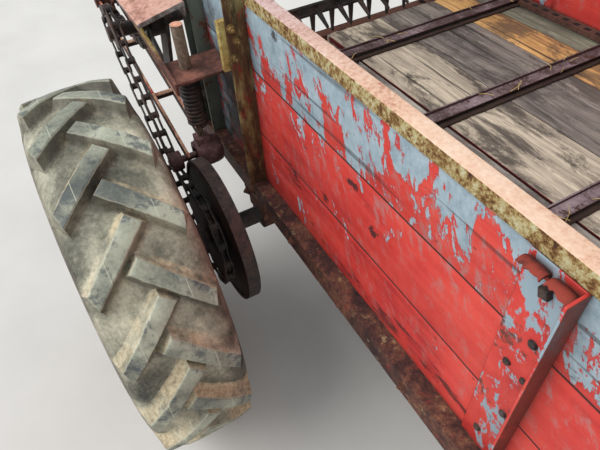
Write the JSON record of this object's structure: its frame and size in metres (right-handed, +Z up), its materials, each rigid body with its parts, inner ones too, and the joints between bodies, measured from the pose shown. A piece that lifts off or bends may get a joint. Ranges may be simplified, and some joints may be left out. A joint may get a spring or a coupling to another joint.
{
  "type": "manure spreader",
  "caption": "Towed two-wheel farm spreader with a painted plank box, slatted chain floor, toothed rear beaters, lugged tyres and an A-shaped drawbar on a parking leg.",
  "frame": {"origin": "on the ground, at the middle of the machine's length and width", "axes": "+X forward to the hitch, +Y to the left, +Z up"},
  "size_m": [4.827, 2.198, 1.524],
  "materials": {
    "rusty_steel": "rough rust over brown steel",
    "dark_iron": "greasy near-black iron",
    "grey_wood": "weathered bare boards",
    "painted_wood": "peeling red paint over grey-blue primer",
    "worn_rail": "olive paint worn to rust",
    "red_steel": "chalky red paint with rust",
    "green_steel": "dull grey-green paint",
    "worn_guard": "pink-brown rust over pale paint",
    "rusty_rim": "rust with traces of paint",
    "tyre": "old dusty rubber with tan dirt"
  },
  "bodies": {
    "root": {"sills": "rusty_steel", "cross_ties": "rusty_steel", "deck_bearers": "grey_wood", "deck_boards": "grey_wood", "planks_right": "painted_wood", "planks_left": "painted_wood", "top_rails": "worn_rail", "posts": "worn_rail", "stakes": "red_steel", "front_boards": "painted_wood", "uprights": "green_steel", "beater_frame_right": "rusty_steel", "beater_frame_left": "rusty_steel", "apron_chains": "rusty_steel", "apron_slats": "rusty_steel", "apron_rear_shaft": "dark_iron", "apron_front_shaft": "dark_iron", "axle": "dark_iron", "axle_brackets": "rusty_steel", "drive_drum": "dark_iron", "main_chain": "dark_iron", "fan_chain": "dark_iron", "upper_chain": "dark_iron", "chain_tighteners": "dark_iron", "tension_plate": "rusty_steel", "tension_rod": "rusty_steel", "tension_spring": "dark_iron", "idler": "dark_iron", "drive_arm": "rusty_steel", "chain_guard": "worn_guard", "feed_drive": "dark_iron", "drawbar": "red_steel", "hitch": "dark_iron", "stand_bracket": "red_steel", "levers": "rusty_steel"},
    "wheel_right": {"tyre_right": "tyre", "rim_right": "rusty_rim", "hub_right": "dark_iron"},
    "wheel_left": {"tyre_left": "tyre", "rim_left": "rusty_rim", "hub_left": "dark_iron"},
    "main_beater": {"main_beater": "rusty_steel"},
    "upper_beater": {"upper_beater": "rusty_steel"},
    "distributor": {"distributor": "rusty_steel"},
    "stand": {"stand": "red_steel"}
  },
  "joints": [
    {"name": "wheel_right_turn", "type": "hinge", "parent": "root", "child": "wheel_right", "pos_m": [-1.2125, -0.968, 0.49], "axis": [0, 1, 0], "continuous": true},
    {"name": "wheel_left_turn", "type": "hinge", "parent": "root", "child": "wheel_left", "pos_m": [-1.2125, 0.968, 0.49], "axis": [0, 1, 0], "continuous": true},
    {"name": "main_beater_turn", "type": "hinge", "parent": "root", "child": "main_beater", "pos_m": [-1.8125, 0, 0.86], "axis": [0, 1, 0], "continuous": true},
    {"name": "upper_beater_turn", "type": "hinge", "parent": "root", "child": "upper_beater", "pos_m": [-1.65598, 0, 1.19], "axis": [0, 1, 0], "continuous": true},
    {"name": "distributor_turn", "type": "hinge", "parent": "root", "child": "distributor", "pos_m": [-2.2325, 0, 0.8], "axis": [0, 1, 0], "continuous": true},
    {"name": "stand_swing", "type": "hinge", "parent": "root", "child": "stand", "pos_m": [1.8075, 0, 0.515], "axis": [0, 1, 0], "range_deg": [0, 90]}
  ]
}
